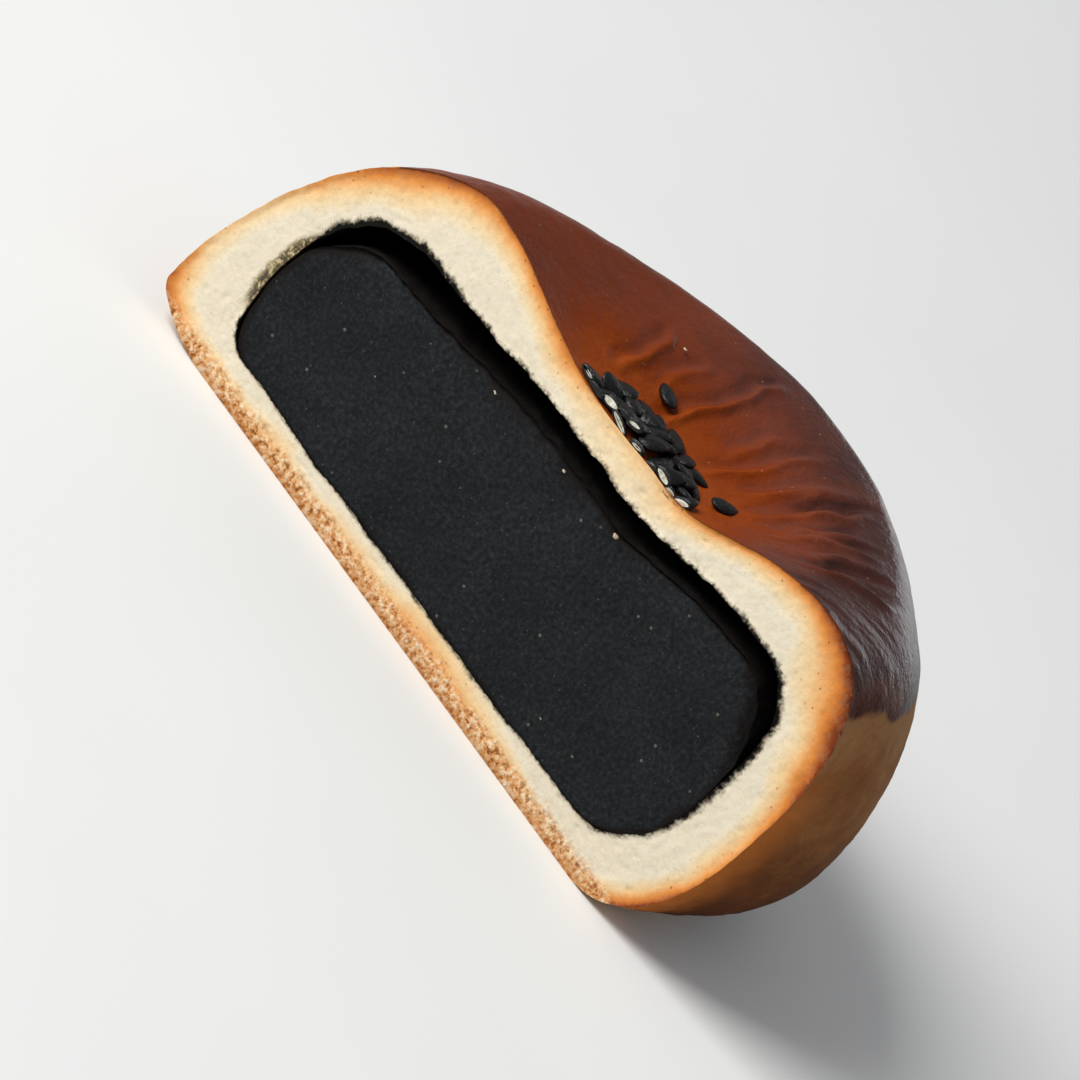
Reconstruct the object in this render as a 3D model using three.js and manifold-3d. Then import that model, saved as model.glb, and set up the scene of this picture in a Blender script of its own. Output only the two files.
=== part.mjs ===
// Half of an anpan, a glazed sweet bun cut straight down through its dimple.
// The bread shell stands on its flat base, the cut face looks towards -Y, and the
// block of black paste inside shows at the cut. Black sesame seeds lie in the dimple,
// fused to the bread, and the ones that the knife crossed are cut with it.
// Millimetres, +Z up. The origin is under the middle of the half, on the table.

import * as THREE from 'three';
import { mergeVertices } from 'three/addons/utils/BufferGeometryUtils.js';
import Module from 'manifold-3d';

// ---- Driving dimensions -------------------------------------------------------

// The dimple sits a little right of the middle of the cut. All radii are from its axis.
const AXIS_X = 4;

// A shell is a dome with a sunken middle. Its profile is given at three places:
// at the two ends of the cut and straight behind it.
//   flat    radius of the sunken middle        foot    radius where the base ends
//   crestR  radius and crestZ height of the crest
//   sideR   greatest radius and sideZ its height
//   upper, lower   how square the two shoulders are, 2 being an ellipse
const CRUST = {
  top: 30.3,
  bottom: 0,
  right: { flat: 5, crestR: 23, crestZ: 35.6, sideR: 34.7, sideZ: 17, foot: 24.5, upper: 2.9, lower: 2.3 },
  left: { flat: 3.5, crestR: 24.8, crestZ: 33.8, sideR: 43.5, sideZ: 3.4, foot: 34, upper: 1.84, lower: 1.75 },
  back: { flat: 6, crestR: 26, crestZ: 36.3, sideR: 39.8, sideZ: 10.4, foot: 25, upper: 1.6, lower: 2.1 },
};

// The hollow that the paste fills, with bread 4 to 8 mm thick round it.
const HOLLOW = {
  top: 26.5,
  bottom: 4.2,
  right: { flat: 1, crestR: 21.5, crestZ: 28.6, sideR: 28.9, sideZ: 17, foot: 19, upper: 2.9, lower: 2.3 },
  left: { flat: 6, crestR: 25, crestZ: 25.5, sideR: 36, sideZ: 11, foot: 32, upper: 2.3, lower: 2.6 },
  back: { flat: 4, crestR: 22, crestZ: 28, sideR: 32, sideZ: 12, foot: 24, upper: 2, lower: 2.1 },
};

// The paste rests on the hollow's floor and has sunk away from its roof.
const PASTE = {
  top: 24.4,
  bottom: 4.55,
  right: { flat: 3, crestR: 21, crestZ: 26.8, sideR: 28.3, sideZ: 15.5, foot: 18.5, upper: 2.5, lower: 2.25 },
  left: { flat: 4, crestR: 26.2, crestZ: 22.2, sideR: 35.3, sideZ: 11, foot: 31.5, upper: 2.3, lower: 2.55 },
  back: { flat: 4, crestR: 21.5, crestZ: 25.8, sideR: 31.4, sideZ: 11.8, foot: 23.5, upper: 2, lower: 2.05 },
};

// How fast the two ends' profiles give way to the back's, as powers of the cosine.
const END_FADE = { right: 8, left: 1.5 };

// The knife squeezed the rim, so the bun swells out again behind the cut.
const SWELL = { right: 0.1, left: 0.04, depth: 14, fadeFrom: 12, fadeOver: 24, fade: 0.5 };

// Slow unevenness of the crust's outline.
const WANDER = { depth: 0.35, waves: 5, phase: 0.8 };

// Behind the left end the dome sags, by a share of its height, over a range of angles
// in degrees. The sag eases in from one radius to another.
const SAG = { share: 0.032, from: 75, to: 185, innerR: 12, outerR: 24 };

// The skin shrank into folds that fan out over the dimple's slope from a point in front
// of the cut. Each lies at a heading seen from there, in degrees from the X axis, starts
// and ends at two distances from there, and stands up by its height, or is a crease.
const FOLD_FAN = { x: 2, y: -20 };
const FOLD_WIDTH = 1.1;
const FOLDS = [
  { heading: 102.6, from: 26, to: 37, height: 0.5 },
  { heading: 96.3, from: 29, to: 38, height: 0.25 },
  { heading: 89.8, from: 26, to: 44, height: 0.55 },
  { heading: 81.4, from: 32, to: 39, height: 0.25 },
  { heading: 77.6, from: 28, to: 42, height: 0.4 },
  { heading: 72.6, from: 30, to: 40, height: 0.3 },
  { heading: 69.8, from: 33, to: 45, height: -0.35 },
  { heading: 67.4, from: 28, to: 44, height: 0.4 },
  { heading: 62.6, from: 27, to: 42, height: 0.35 },
  { heading: 60.1, from: 31, to: 42, height: 0.3 },
  { heading: 55, from: 30, to: 42, height: -0.4 },
  { heading: 50.8, from: 29, to: 42, height: 0.35 },
];

// Seeds lie at golden-angle steps, heaped in the middle, each turned and tilted at
// random. Those whose middle is further in front of the cut than frontLimit are gone.
const SEED = { length: 3.3, width: 1.95, thickness: 1, taper: 0.28 };
const SEED_PATCH = { radius: 7.7, spacing: 1, count: 60, heap: 1.1, lift: 0.25, frontLimit: -0.9 };
const SEED_TILT = { roll: 0.9, pitch: 0.8 };
const GOLDEN_ANGLE = Math.PI * (3 - Math.sqrt(5));
const LOOSE_SEEDS = [{ radius: 11.1, angle: 113, heading: 150 }, { radius: 10.3, angle: 35, heading: 60 }];
const RANDOM_START = 20;

// Shares of a profile's run that each stretch takes, from the middle of the top to
// the middle of the base: dimple, upper shoulder, lower shoulder, base.
const RUN = { crest: 0.3, side: 0.65, foot: 0.9 };

// Facets of a whole shell, round the axis and along the profile.
const CRUST_FACETS = { around: 96, along: 40 };
const INNER_FACETS = { around: 64, along: 20 };

// ---- Shape of a shell ---------------------------------------------------------

// The profile at an angle round the axis, 0 being the right end of the cut. The
// right end's square shoulder fades fast, the left end's slope slowly.
function sizesAt(shell, angle) {
  const across = Math.cos(angle);
  const right = Math.max(across, 0) ** END_FADE.right;
  const left = Math.max(-across, 0) ** END_FADE.left;
  const back = 1 - right - left;
  const mixed = {};
  for (const name of Object.keys(shell.back)) {
    mixed[name] = right * shell.right[name] + left * shell.left[name] + back * shell.back[name];
  }
  return mixed;
}

// Height inside the crest: flat in the middle, then an even rise to the crest.
function dimpleHeight(shell, sizes, radius) {
  const rise = THREE.MathUtils.clamp((radius - sizes.flat) / (sizes.crestR - sizes.flat), 0, 1);
  return shell.top + ((sizes.crestZ - shell.top) * (1 - Math.cos(Math.PI * rise))) / 2;
}

// Radius and height at a share of the run along the profile. The two shoulders are
// quarters of a superellipse.
function profileAt(shell, sizes, run) {
  if (run <= RUN.crest) {
    const radius = (sizes.crestR * run) / RUN.crest;
    return [radius, dimpleHeight(shell, sizes, radius)];
  }
  if (run <= RUN.side) {
    const turn = ((run - RUN.crest) / (RUN.side - RUN.crest)) * (Math.PI / 2);
    const out = Math.sin(turn) ** (2 / sizes.upper);
    const up = Math.max(Math.cos(turn), 0) ** (2 / sizes.upper);
    return [
      sizes.crestR + (sizes.sideR - sizes.crestR) * out,
      sizes.sideZ + (sizes.crestZ - sizes.sideZ) * up,
    ];
  }
  if (run <= RUN.foot) {
    const turn = ((run - RUN.side) / (RUN.foot - RUN.side)) * (Math.PI / 2);
    const out = Math.max(Math.cos(turn), 0) ** (2 / sizes.lower);
    const down = Math.sin(turn) ** (2 / sizes.lower);
    return [
      sizes.foot + (sizes.sideR - sizes.foot) * out,
      sizes.sideZ + (shell.bottom - sizes.sideZ) * down,
    ];
  }
  return [(sizes.foot * (1 - run)) / (1 - RUN.foot), shell.bottom];
}

// Places a point given by radius, angle and height. Behind the cut it moves outwards
// along X, less near the top.
function place(radius, angle, height) {
  const across = radius * Math.cos(angle);
  const behind = radius * Math.sin(angle);
  const reach = 1 - Math.exp(-Math.abs(behind) / SWELL.depth);
  const low = THREE.MathUtils.clamp((height - SWELL.fadeFrom) / SWELL.fadeOver, -0.5, 1);
  const share = (across > 0 ? SWELL.right : SWELL.left) * (1 - SWELL.fade * low);
  return new THREE.Vector3(AXIS_X + across * (1 + share * reach), behind, height);
}

// Height of the folds at a point of the crust's top. Across, a fold is a bell curve;
// along, it rises and falls as half a sine wave.
function foldAt(radius, angle) {
  const across = AXIS_X + radius * Math.cos(angle) - FOLD_FAN.x;
  const behind = radius * Math.sin(angle) - FOLD_FAN.y;
  const distance = Math.hypot(across, behind);
  const heading = Math.atan2(behind, across);
  let height = 0;
  for (const fold of FOLDS) {
    const aside = (distance * (heading - THREE.MathUtils.degToRad(fold.heading))) / FOLD_WIDTH;
    const along = THREE.MathUtils.clamp((distance - fold.from) / (fold.to - fold.from), 0, 1);
    height += fold.height * Math.sin(Math.PI * along) * Math.exp(-aside * aside);
  }
  return height;
}

// Share of the crust's height that is lost to the sag.
function sagAt(radius, angle) {
  const turn = THREE.MathUtils.radToDeg(Math.abs(angle));
  const along = THREE.MathUtils.clamp((turn - SAG.from) / (SAG.to - SAG.from), 0, 1);
  const out = THREE.MathUtils.smoothstep(radius, SAG.innerR, SAG.outerR);
  return SAG.share * Math.sin(Math.PI * along) ** 2 * out;
}

function crustPoint(angle, run) {
  const sizes = sizesAt(CRUST, angle);
  const [radius, height] = profileAt(CRUST, sizes, run);
  const side = Math.sin(Math.PI * THREE.MathUtils.clamp(run / RUN.foot, 0, 1)) ** 2;
  const turn = Math.abs(angle);
  const wander = WANDER.depth * side * Math.sin(WANDER.waves * turn + WANDER.phase) * Math.sin(turn);
  const top = run < RUN.side ? foldAt(radius, angle) : 0;
  return place(radius + wander, angle, height * (1 - sagAt(radius, angle)) + top);
}

// ---- Solids -------------------------------------------------------------------

const wasm = await Module();
wasm.setup();

function toSolid(geometry) {
  geometry.deleteAttribute('normal');
  geometry.deleteAttribute('uv');
  const merged = mergeVertices(geometry, 1e-4);
  const vertProperties = new Float32Array(merged.attributes.position.array);
  const triVerts = new Uint32Array(merged.index.array);
  return new wasm.Manifold(new wasm.Mesh({ numProp: 3, vertProperties, triVerts }));
}

function toGeometry(solid) {
  const mesh = solid.getMesh();
  const positions = new Float32Array((mesh.vertProperties.length / mesh.numProp) * 3);
  for (let index = 0; index < positions.length / 3; index += 1) {
    for (let axis = 0; axis < 3; axis += 1) {
      positions[3 * index + axis] = mesh.vertProperties[mesh.numProp * index + axis];
    }
  }
  const geometry = new THREE.BufferGeometry();
  geometry.setAttribute('position', new THREE.BufferAttribute(positions, 3));
  geometry.setIndex(new THREE.BufferAttribute(new Uint32Array(mesh.triVerts), 1));
  geometry.computeVertexNormals();
  return geometry;
}

// A whole closed shell: a sphere's grid, with every vertex moved to the point that
// its longitude and latitude stand for.
function shellSolid(pointAt, { around, along }) {
  const geometry = new THREE.SphereGeometry(1, around, along);
  const { position, uv } = geometry.attributes;
  for (let index = 0; index < position.count; index += 1) {
    const angle = 2 * Math.PI * (uv.array[2 * index] % 1);
    const run = Math.round(along * (1 - uv.array[2 * index + 1])) / along;
    const folded = angle > Math.PI ? angle - 2 * Math.PI : angle;
    const point = pointAt(folded, run);
    position.setXYZ(index, point.x, point.y, point.z);
  }
  return toSolid(geometry);
}

function plainPoint(shell) {
  return (angle, run) => {
    const [radius, height] = profileAt(shell, sizesAt(shell, angle), run);
    return place(radius, angle, height);
  };
}

// What the knife took away: everything in front of the cut.
function cutAway() {
  const size = 200;
  const box = new THREE.BoxGeometry(size, size, size);
  box.translate(0, -size / 2, 0);
  return toSolid(box);
}

// ---- Sesame seeds -------------------------------------------------------------

function seededRandom(start) {
  let state = start >>> 0;
  return () => {
    state = (state + 0x6d2b79f5) >>> 0;
    let mixed = Math.imul(state ^ (state >>> 15), 1 | state);
    mixed = (mixed + Math.imul(mixed ^ (mixed >>> 7), 61 | mixed)) ^ mixed;
    return ((mixed ^ (mixed >>> 14)) >>> 0) / 4294967296;
  };
}

// One seed: a flat drop, wider at one end.
function seedSolid(centre, heading, [roll, pitch], scale) {
  const geometry = new THREE.SphereGeometry(0.5, 6, 4);
  const position = geometry.attributes.position;
  for (let index = 0; index < position.count; index += 1) {
    const along = position.getY(index) * 2;
    const taper = 1 - SEED.taper * along;
    const x = position.getY(index) * SEED.length * scale;
    const y = position.getX(index) * SEED.width * taper * scale;
    const z = position.getZ(index) * SEED.thickness * scale;
    position.setXYZ(index, x, y, -z);
  }
  const turn = new THREE.Matrix4().makeRotationFromEuler(new THREE.Euler(roll, pitch, heading, 'ZYX'));
  geometry.applyMatrix4(turn);
  geometry.translate(centre.x, centre.y, centre.z);
  return toSolid(geometry);
}

function crustTopAt(radius, angle) {
  return place(radius, angle, dimpleHeight(CRUST, sizesAt(CRUST, angle), radius));
}

// The round patch of seeds. In its heaped middle every second seed sits higher.
function patchSeeds(random) {
  const seeds = [];
  for (let index = 0; index < SEED_PATCH.count; index += 1) {
    const radius = SEED_PATCH.spacing * Math.sqrt(index + 0.5);
    const angle = THREE.MathUtils.euclideanModulo(index * GOLDEN_ANGLE + Math.PI, 2 * Math.PI) - Math.PI;
    const high = SEED_PATCH.heap * (1 - radius / SEED_PATCH.radius) * (index % 2);
    const heading = Math.PI * random();
    const tilt = [SEED_TILT.roll * (random() - 0.5), SEED_TILT.pitch * (random() - 0.5)];
    const scale = 0.9 + 0.2 * random();
    const centre = crustTopAt(radius, angle);
    centre.z += SEED_PATCH.lift * SEED.thickness + high;
    if (centre.y > SEED_PATCH.frontLimit) seeds.push(seedSolid(centre, heading, tilt, scale));
  }
  return seeds;
}

function looseSeeds() {
  return LOOSE_SEEDS.map(({ radius, angle, heading }) => {
    const centre = crustTopAt(radius, THREE.MathUtils.degToRad(angle));
    centre.z += SEED_PATCH.lift * SEED.thickness;
    return seedSolid(centre, THREE.MathUtils.degToRad(heading), [0, 0], 1);
  });
}

// ---- The two pieces -----------------------------------------------------------

// Bread: the crust's shell with its seeds, less the hollow and the half cut off.
function breadSolid() {
  let bread = shellSolid(crustPoint, CRUST_FACETS);
  for (const seed of [...patchSeeds(seededRandom(RANDOM_START)), ...looseSeeds()]) {
    bread = bread.add(seed);
  }
  return bread.subtract(shellSolid(plainPoint(HOLLOW), INNER_FACETS)).subtract(cutAway());
}

function fillingSolid() {
  return shellSolid(plainPoint(PASTE), INNER_FACETS).subtract(cutAway());
}

const bread = new THREE.Mesh(
  toGeometry(breadSolid()),
  new THREE.MeshStandardMaterial({ color: 0x6b2c14, roughness: 0.45, metalness: 0 }),
);
bread.name = 'bread';

const filling = new THREE.Mesh(
  toGeometry(fillingSolid()),
  new THREE.MeshStandardMaterial({ color: 0x17181b, roughness: 0.9, metalness: 0 }),
);
filling.name = 'filling';

const anpan = new THREE.Group();
anpan.add(bread, filling);

// The origin goes under the middle of the half.
const bounds = new THREE.Box3().setFromObject(anpan);
const middle = bounds.getCenter(new THREE.Vector3());
bread.position.set(-middle.x, -middle.y, -bounds.min.z);
filling.position.copy(bread.position);

export default anpan;
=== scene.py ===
# Half of an anpan on a pale table, seen from its cut side. Sizes are in millimetres
# until a piece's mesh is made, in the bun's own axes: x along the cut, y backwards
# from the cut face, z up from the table.
import math
import bmesh
import bpy
import numpy as np
from mathutils import Matrix, Vector


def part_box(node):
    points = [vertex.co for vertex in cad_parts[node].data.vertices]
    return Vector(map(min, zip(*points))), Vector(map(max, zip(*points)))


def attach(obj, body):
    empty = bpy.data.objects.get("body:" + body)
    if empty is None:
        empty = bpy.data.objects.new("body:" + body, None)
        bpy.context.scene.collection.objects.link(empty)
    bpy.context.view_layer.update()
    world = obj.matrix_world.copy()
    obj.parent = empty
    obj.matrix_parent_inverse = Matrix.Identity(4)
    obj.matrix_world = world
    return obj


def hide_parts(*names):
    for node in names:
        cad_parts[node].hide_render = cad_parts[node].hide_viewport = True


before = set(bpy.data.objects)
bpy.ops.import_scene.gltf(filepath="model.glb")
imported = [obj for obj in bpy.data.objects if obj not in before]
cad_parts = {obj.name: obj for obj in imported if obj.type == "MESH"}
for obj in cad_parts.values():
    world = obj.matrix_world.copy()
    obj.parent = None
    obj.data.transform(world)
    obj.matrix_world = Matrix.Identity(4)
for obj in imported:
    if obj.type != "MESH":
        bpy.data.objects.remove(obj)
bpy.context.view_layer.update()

# ---- Bread ----
# The bread is one piece: a glazed crust, pale crumb where it was cut, and the wall of
# the hollow that the paste fills. It was baked from one ball of dough, and brushed
# with egg over the top only, so its sides stayed matt and tan.

AXIS_X = 4.0
CRUST = dict(
    top=30.3, bottom=0.0,
    right=dict(flat=5, crest_r=23, crest_z=35.6, side_r=34.7, side_z=17, foot=24.5, upper=2.9, lower=2.3),
    left=dict(flat=3.5, crest_r=24.8, crest_z=33.8, side_r=43.5, side_z=3.4, foot=34, upper=1.84, lower=1.75),
    back=dict(flat=6, crest_r=26, crest_z=36.3, side_r=39.8, side_z=10.4, foot=25, upper=1.6, lower=2.1),
)
HOLLOW = dict(
    top=26.5, bottom=4.2,
    right=dict(flat=1, crest_r=21.5, crest_z=28.6, side_r=28.9, side_z=17, foot=19, upper=2.9, lower=2.3),
    left=dict(flat=6, crest_r=25, crest_z=25.5, side_r=36, side_z=11, foot=32, upper=2.3, lower=2.6),
    back=dict(flat=4, crest_r=22, crest_z=28, side_r=32, side_z=12, foot=24, upper=2, lower=2.1),
)
END_FADE_RIGHT, END_FADE_LEFT = 8, 1.5
RUN_CREST, RUN_SIDE, RUN_FOOT = 0.3, 0.65, 0.9
RUN_STEPS, SPARSE_FROM, SPARSE_WEIGHT = 1600, 0.93, 0.35
SWELL_RIGHT, SWELL_LEFT, SWELL_REACH = 0.1, 0.04, 14


def sizes_at(shell, angle):
    """Sizes of the profile at an angle round the axis: the right end's fade as the
    cosine to the 8th, the left end's as the cosine to the 1.5th, the rest is the back's."""
    across = np.cos(angle)
    right = np.maximum(across, 0) ** END_FADE_RIGHT
    left = np.maximum(-across, 0) ** END_FADE_LEFT
    back = 1 - right - left
    return {
        name: right * shell["right"][name] + left * shell["left"][name] + back * shell["back"][name]
        for name in shell["back"]
    }


def dimple_height(shell, sizes, radius):
    """Flat in the middle, then half a cosine wave up to the crest."""
    rise = np.clip((radius - sizes["flat"]) / (sizes["crest_r"] - sizes["flat"]), 0, 1)
    return shell["top"] + (sizes["crest_z"] - shell["top"]) * (1 - np.cos(np.pi * rise)) / 2


def profile_at(shell, sizes, run):
    """Radius and height at a share of the run from the top's middle to the base's
    middle: the dimple, a quarter superellipse to the side, one to the foot, the base."""
    turn = np.clip((run - RUN_CREST) / (RUN_SIDE - RUN_CREST), 0, 1) * np.pi / 2
    fall = np.clip((run - RUN_SIDE) / (RUN_FOOT - RUN_SIDE), 0, 1) * np.pi / 2
    inner = sizes["crest_r"] * run / RUN_CREST
    upper = 2 / sizes["upper"]
    lower = 2 / sizes["lower"]
    cosine = np.maximum(np.cos(turn), 0)
    under = np.maximum(np.cos(fall), 0)
    stretches = [run <= RUN_CREST, run <= RUN_SIDE, run <= RUN_FOOT]
    radius = np.select(
        stretches,
        [
            inner,
            sizes["crest_r"] + (sizes["side_r"] - sizes["crest_r"]) * np.sin(turn) ** upper,
            sizes["foot"] + (sizes["side_r"] - sizes["foot"]) * under ** lower,
        ],
        sizes["foot"] * (1 - run) / (1 - RUN_FOOT),
    )
    height = np.select(
        stretches,
        [
            dimple_height(shell, sizes, inner),
            sizes["side_z"] + (sizes["crest_z"] - sizes["side_z"]) * cosine ** upper,
            sizes["side_z"] + (shell["bottom"] - sizes["side_z"]) * np.sin(fall) ** lower,
        ],
        shell["bottom"] + 0 * inner,
    )
    return radius, height


def place(radius, angle, height):
    """Point at a radius, angle and height, swollen outwards along x behind the cut: by up
    to an eighth at the right end's foot and a twentieth at the left's, less higher up."""
    across = radius * np.cos(angle)
    behind = radius * np.sin(angle)
    reach = 1 - np.exp(-np.abs(behind) / SWELL_REACH)
    high = np.clip((height - 12) / 24, -0.5, 1)
    share = np.where(across > 0, SWELL_RIGHT, SWELL_LEFT) * (1 - 0.5 * high)
    return np.stack([AXIS_X + across * (1 + share * reach), behind, height], axis=-1)


def shell_grid(shell, angles, rows):
    """Radius, angle and height on a grid. Columns are angles round the axis, and rows
    follow each column's profile at even steps of its length, longer ones under the base."""
    run = np.linspace(0, 1, RUN_STEPS + 1)[:, None]
    sizes = sizes_at(shell, angles[None, :])
    radius, height = profile_at(shell, sizes, run + 0 * angles[None, :])
    step = np.hypot(np.diff(radius, axis=0), np.diff(height, axis=0))
    step[run[1:, 0] > SPARSE_FROM] *= SPARSE_WEIGHT
    length = np.vstack([np.zeros(len(angles)), np.cumsum(step, axis=0)])
    even = np.linspace(0, 1, rows + 1)
    picked = np.stack(
        [np.interp(even * length[-1, c], length[:, c], run[:, 0]) for c in range(len(angles))],
        axis=1,
    )
    radius, height = profile_at(shell, sizes, picked)
    return radius, angles[None, :] + 0 * radius, height


# Turns the noise's lattice out of line with the bun's axes.
LATTICE_TURN = np.array(Matrix.Rotation(0.7, 3, "Z") @ Matrix.Rotation(0.9, 3, "X"))


def noise(points, size, seed):
    """Smooth noise from -1 to 1: a hashed value at each corner of a lattice whose cells
    measure size, eased between corners by 3t^2 - 2t^3."""
    scaled = points @ LATTICE_TURN / size
    cell = np.floor(scaled).astype(np.int64)
    ease = scaled - cell
    ease = ease * ease * (3 - 2 * ease)
    total = 0.0
    for corner in range(8):
        step = np.array([corner & 1, corner >> 1 & 1, corner >> 2 & 1])
        at = (cell + step) & 0xFFFF
        mixed = (at[..., 0] * 73856093 ^ at[..., 1] * 19349663 ^ at[..., 2] * 83492791) + seed * 2654435
        mixed = (mixed ^ mixed >> 15) * 668265263 & 0xFFFFFFFF
        mixed = (mixed ^ mixed >> 13) * 374761393 & 0xFFFFFFFF
        value = (mixed >> 8 & 0xFFFF) / 32767.5 - 1
        total = total + value * np.prod(np.where(step, ease, 1 - ease), axis=-1)
    return total


def ease_between(value, low, high):
    """0 below low, 1 above high, an eased curve between."""
    share = np.clip((value - low) / (high - low), 0, 1)
    return share * share * (3 - 2 * share)


# The skin's main folds fan out from a point in front of the cut: heading in degrees
# from there, start and end as distances from there, and height, less than 0 in a crease.
# The wrinkles run along the same fan, measured on an arc of that radius.
FAN_X, FAN_Y = 2.0, -20.0
FAN_ARC = 36
FOLDS = (
    (102.6, 26, 37, 0.50), (96.3, 29, 38, 0.25), (89.8, 26, 44, 0.55), (81.4, 32, 39, 0.25),
    (77.6, 28, 42, 0.40), (72.6, 30, 40, 0.30), (69.8, 33, 45, -0.35), (67.4, 28, 44, 0.40),
    (62.6, 27, 42, 0.35), (60.1, 31, 42, 0.30), (55.0, 30, 42, -0.40), (50.8, 29, 42, 0.35),
)


def fan_at(radius, angle):
    """Distance and heading in radians from the point that the folds fan out from."""
    across = AXIS_X + radius * np.cos(angle) - FAN_X
    behind = radius * np.sin(angle) - FAN_Y
    return np.hypot(across, behind), np.arctan2(behind, across)


def folds(radius, angle):
    """Height of the main folds. Across, each is a bell curve with a shallow trough on
    its left. Along, it rises and falls as half a sine wave, unevenly, and wanders."""
    distance, heading = fan_at(radius, angle)
    total = 0.0
    for number, (lies_at, start, end, height) in enumerate(FOLDS):
        along = np.clip((distance - start) / (end - start), 0, 1)
        spot = np.stack([distance, 0 * distance + 9.0 * number, 0 * distance], axis=-1)
        aside = distance * (heading - math.radians(lies_at)) + 0.7 * noise(spot, 2.6, 7)
        height = height * (1 + 0.45 * noise(spot, 2.1, 8))
        ridge = np.exp(-(aside / 0.55) ** 2)
        trough = np.exp(-((aside - 1.2) / 0.8) ** 2)
        total = total + 1.35 * height * np.sin(np.pi * along) * (ridge - 0.5 * trough)
    return total


def wrinkles(radius, angle):
    """Height of the fine wrinkles: noise drawn out along the folds' fan and bent to and
    fro, sharp at the bottom. They are patchy, and deepest right of the dimple. Others run
    down over the crest at the back."""
    distance, heading = fan_at(radius, angle)
    spot = np.stack([heading * FAN_ARC, distance, 0 * radius], axis=-1)
    bent = heading * FAN_ARC + 1.5 * noise(spot, 5.5, 9)
    flow = np.stack([bent, distance / 5, 0 * radius], axis=-1)
    wide = np.abs(noise(flow, 1.7, 5))
    narrow = np.abs(noise(flow, 0.8, 6))
    patchy = 1 + 0.6 * noise(spot, 6.0, 10)
    right = 1 - ease_between(np.degrees(heading), 58, 80)
    band = ease_between(distance, 26, 31) * (1 - 0.9 * ease_between(distance, 36, 44))
    fanned = band * patchy * (0.07 + 0.25 * right) * (0.85 * wide + 0.5 * narrow - 0.36)
    turn = np.stack([angle * 30 + 1.2 * noise(spot, 4.5, 16), radius / 5, 0 * radius], axis=-1)
    crossing = ease_between(radius, 27, 31) * ease_between(radius * np.sin(angle), 10, 20)
    return fanned + 0.18 * crossing * patchy * (np.abs(noise(turn, 1.5, 17)) - 0.4)


def outward(points):
    """Unit normals of a grid, from the cross product of its two directions."""
    normal = np.cross(np.gradient(points, axis=0), np.gradient(points, axis=1))
    length = np.linalg.norm(normal, axis=-1, keepdims=True)
    normal = normal / np.maximum(length, 1e-9)
    normal[0] = (0, 0, 1)
    normal[-1] = (0, 0, -1)
    return normal


def grid_quads(rows, columns, first):
    """Corner numbers of a grid's quads, counted from first."""
    number = first + np.arange(rows * columns).reshape(rows, columns)
    return np.stack([number[:-1, :-1], number[1:, :-1], number[1:, 1:], number[:-1, 1:]], -1).reshape(-1, 4)


def join_grids(grids):
    """Points and quads of several grids, one after another."""
    starts = np.cumsum([0] + [grid[..., 0].size for grid in grids[:-1]])
    corners = [grid_quads(*grid.shape[:2], start) for grid, start in zip(grids, starts)]
    return np.vstack([grid.reshape(-1, 3) for grid in grids]), np.vstack(corners)


def keep_behind_cut(grid, plane=0.0):
    """Puts a grid's first and last columns on the cut's plane, and the rest behind it."""
    grid[:, 0, 1] = plane
    grid[:, -1, 1] = plane
    grid[:, 1:-1, 1] = np.maximum(grid[:, 1:-1, 1], plane + 0.002)
    return grid


# The crust: a grid of angles and rows, with the top's folds and wrinkles, a slow
# unevenness all over, and a fine pebbling.
BREAD_ROWS = 250
CRUST_COLUMNS = 251
crust_angle = np.linspace(0, np.pi, CRUST_COLUMNS)
crust_r, crust_a, crust_z = shell_grid(CRUST, crust_angle, BREAD_ROWS)
on_side = ease_between(crust_z, 0.5, 6) * ease_between(crust_r, 20, 34)
wander = 0.35 * on_side * np.sin(5 * crust_a + 0.8) * np.sin(crust_a)
top_share = ease_between(crust_z, 20, 30)
crust_folds = folds(crust_r, crust_a) * top_share
# Behind the left end the dome sags, over 110 degrees from an angle of 75.
SAG = 0.032
sag_turn = np.clip((np.degrees(crust_a) - 75) / 110, 0, 1)
sag = SAG * np.sin(np.pi * sag_turn) ** 2 * ease_between(crust_r, 12, 24)
crust = place(crust_r + wander, crust_a, crust_z * (1 - sag) + crust_folds)
crust_wrinkles = wrinkles(crust_r, crust_a) * ease_between(crust_z, 22, 30)
lumps = 0.13 * noise(crust, 7.3, 11) + 0.05 * noise(crust, 2.6, 12)
above_base = ease_between(crust_z, 0.2, 3)
matt_share = 1 - ease_between(crust_z, 27, 31)
pebbles = (0.02 + 0.04 * matt_share) * noise(crust, 0.9, 13)
relief = crust_wrinkles + (lumps - 0.02) * above_base + pebbles
crust = keep_behind_cut(crust + outward(crust) * relief[..., None])

# The egg stopped at a wavering line below the crest, lower at the left and the back.
GLAZE_EDGE_RIGHT, LOWER_AT_LEFT, LOWER_AT_BACK = 31.2, 3.2, 4.5
to_left = ease_between(-np.cos(crust_a), 0.2, 1)
glaze_edge = GLAZE_EDGE_RIGHT - LOWER_AT_LEFT * to_left - LOWER_AT_BACK * np.sin(crust_a) ** 2
glaze_edge = glaze_edge + (0.9 - 0.4 * to_left) * noise(crust, 6.0, 14) + 0.5 * noise(crust, 2.2, 15)
over_glaze_edge = np.where(crust_r < 23, 9.0, crust[..., 2] - glaze_edge)

# The higher the skin, the browner. At the back it is nearly as brown below the crest.
BROWN_BELOW_CREST = 0.85
crust_sizes = sizes_at(CRUST, crust_angle)
at_back = ease_between(crust_r * np.sin(crust_a), 6, 18)
past_crest = ease_between(crust_r - crust_sizes["crest_r"], 0, 3) * at_back
browned_z = crust[..., 2] + BROWN_BELOW_CREST * past_crest * (crust_sizes["crest_z"] - crust[..., 2])

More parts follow.
